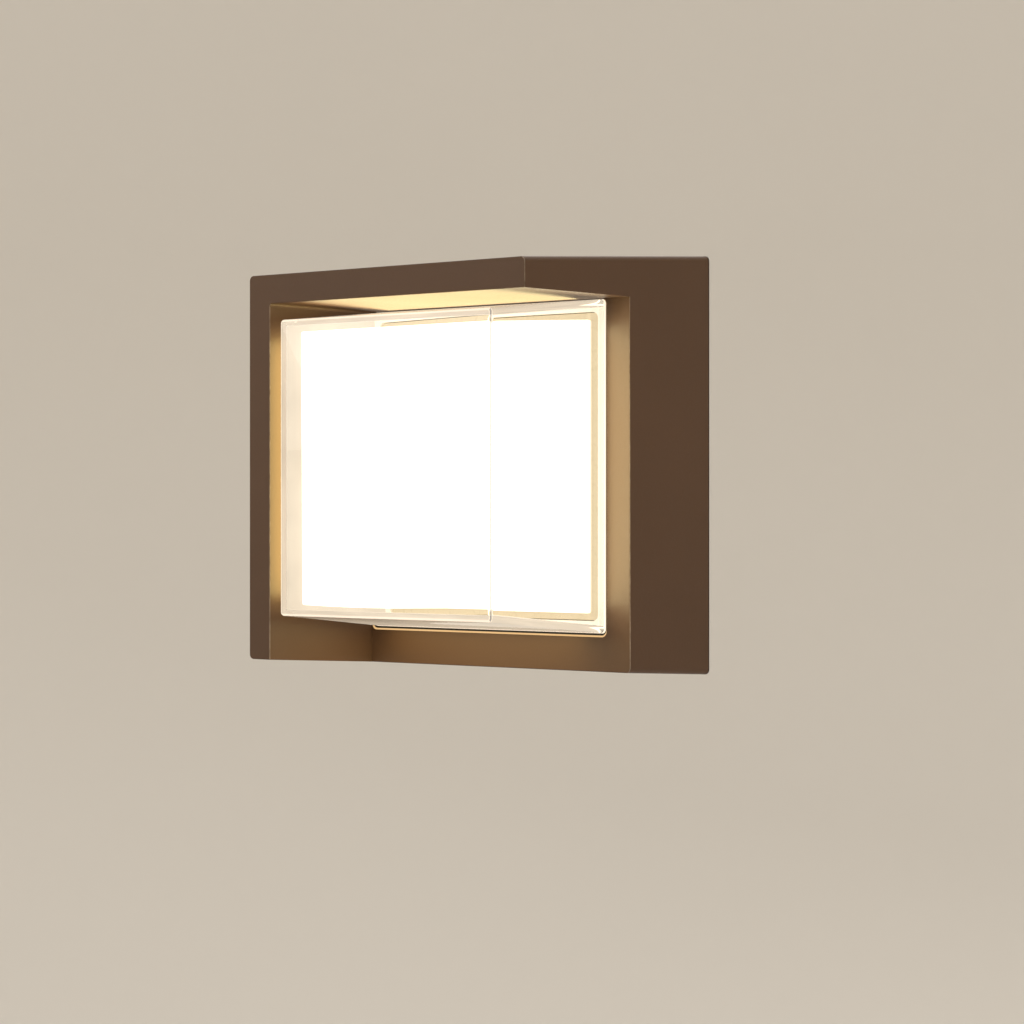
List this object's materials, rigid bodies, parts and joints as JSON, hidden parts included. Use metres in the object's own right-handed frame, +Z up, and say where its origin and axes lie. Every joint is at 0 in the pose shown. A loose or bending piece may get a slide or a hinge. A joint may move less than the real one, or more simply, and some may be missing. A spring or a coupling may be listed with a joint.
{
  "type": "outdoor wall lantern",
  "caption": "Square bronze outdoor wall lantern: die-cast base with an L-shaped hood, tapered clear cover over a glowing opal diffuser, hung on a slotted wall bracket.",
  "frame": {"origin": "middle of the wall bracket's slot pattern, on the wall plane", "axes": "+Z up, +Y into the wall, so the front faces -Y; +X is to the right of a person facing the lantern"},
  "size_m": [0.2, 0.1225, 0.2],
  "materials": {
    "bronze_casting": "fine matt bronze powder coat on die-cast aluminium",
    "galvanised_sheet": "galvanised steel sheet",
    "zinc_screw": "bright zinc plated steel",
    "black_oxide_screw": "black oxide stainless steel",
    "aluminium_sheet": "mill finish aluminium sheet",
    "brass_parts": "plain brass",
    "black_foam": "closed cell EPDM foam",
    "red_silicone": "moulded silicone rubber",
    "grey_rubber": "moulded rubber",
    "sealant": "dark silicone sealant bead",
    "black_nylon": "black polyamide",
    "terminal_white": "off-white polyamide",
    "terminal_orange": "orange polyamide",
    "brown_wire": "brown PVC insulation",
    "blue_wire": "blue PVC insulation",
    "green_yellow_wire": "green and yellow PVC insulation",
    "red_wire": "red PVC insulation",
    "black_wire": "black PVC insulation",
    "white_board": "aluminium-core board with white solder mask",
    "green_board": "glass-epoxy board with green solder mask",
    "phosphor": "LED package with yellow phosphor",
    "white_sheet": "white reflector film",
    "driver_plastic": "white polycarbonate",
    "thermal_grey": "thermal interface pad",
    "winding_tape": "yellow polyester tape on ferrite",
    "capacitor_sleeve": "shrink sleeve",
    "opal_acrylic": "opal acrylic, lit from inside",
    "clear_acrylic": "clear polished acrylic"
  },
  "bodies": {
    "bracket": {"wall_bracket": "galvanised_sheet", "bracket_earth_screw": "brass_parts", "bracket_earth_washer": "zinc_screw"},
    "lantern": {"housing": "bronze_casting", "wall_gasket": "black_foam", "back_cover": "aluminium_sheet", "back_gasket": "red_silicone", "back_cover_screws": "zinc_screw", "breather_plug": "black_nylon", "cable_gland": "black_nylon", "gland_nut": "black_nylon", "gland_seal": "grey_rubber", "cable_sheath": "black_wire", "live_core": "brown_wire", "neutral_core": "blue_wire", "earth_core": "green_yellow_wire", "terminal_block": "terminal_white", "terminal_clamps": "brass_parts", "terminal_screws": "zinc_screw", "earth_screw": "brass_parts", "earth_washer": "zinc_screw", "earth_lug": "brass_parts", "driver_case": "driver_plastic", "driver_lid": "driver_plastic", "driver_board": "green_board", "driver_transformer": "winding_tape", "driver_capacitors": "capacitor_sleeve", "driver_screws": "zinc_screw", "output_lead_plus": "red_wire", "output_lead_minus": "black_wire", "wire_grommet": "grey_rubber", "board_connector": "terminal_white", "thermal_pad": "thermal_grey", "led_board": "white_board", "led_chips": "phosphor", "reflector_sheet": "white_sheet", "board_screws": "zinc_screw", "diffuser": "opal_acrylic", "lens_cover": "clear_acrylic", "cover_seal": "sealant"},
    "left_set_screw": {"set_screw_left": "black_oxide_screw"},
    "right_set_screw": {"set_screw_right": "black_oxide_screw"},
    "live_button": {"terminal_button_live": "terminal_orange"},
    "neutral_button": {"terminal_button_neutral": "terminal_orange"},
    "earth_button": {"terminal_button_earth": "terminal_orange"}
  },
  "joints": [
    {"name": "lantern_release", "type": "slide", "parent": "bracket", "child": "lantern", "axis": [0, -1, 0], "range_m": [0, 0.06]},
    {"name": "left_set_screw_out", "type": "slide", "parent": "lantern", "child": "left_set_screw", "axis": [0, 0, -1], "range_m": [0, 0.003]},
    {"name": "right_set_screw_out", "type": "slide", "parent": "lantern", "child": "right_set_screw", "axis": [0, 0, -1], "range_m": [0, 0.003]},
    {"name": "live_button_press", "type": "slide", "parent": "lantern", "child": "live_button", "axis": [0, -1, 0], "range_m": [0, 0.0018], "stiffness_N_per_m": 600, "springref_m": -0.003},
    {"name": "neutral_button_press", "type": "slide", "parent": "lantern", "child": "neutral_button", "axis": [0, -1, 0], "range_m": [0, 0.0018], "stiffness_N_per_m": 600, "springref_m": -0.003},
    {"name": "earth_button_press", "type": "slide", "parent": "lantern", "child": "earth_button", "axis": [0, -1, 0], "range_m": [0, 0.0018], "stiffness_N_per_m": 600, "springref_m": -0.003}
  ]
}
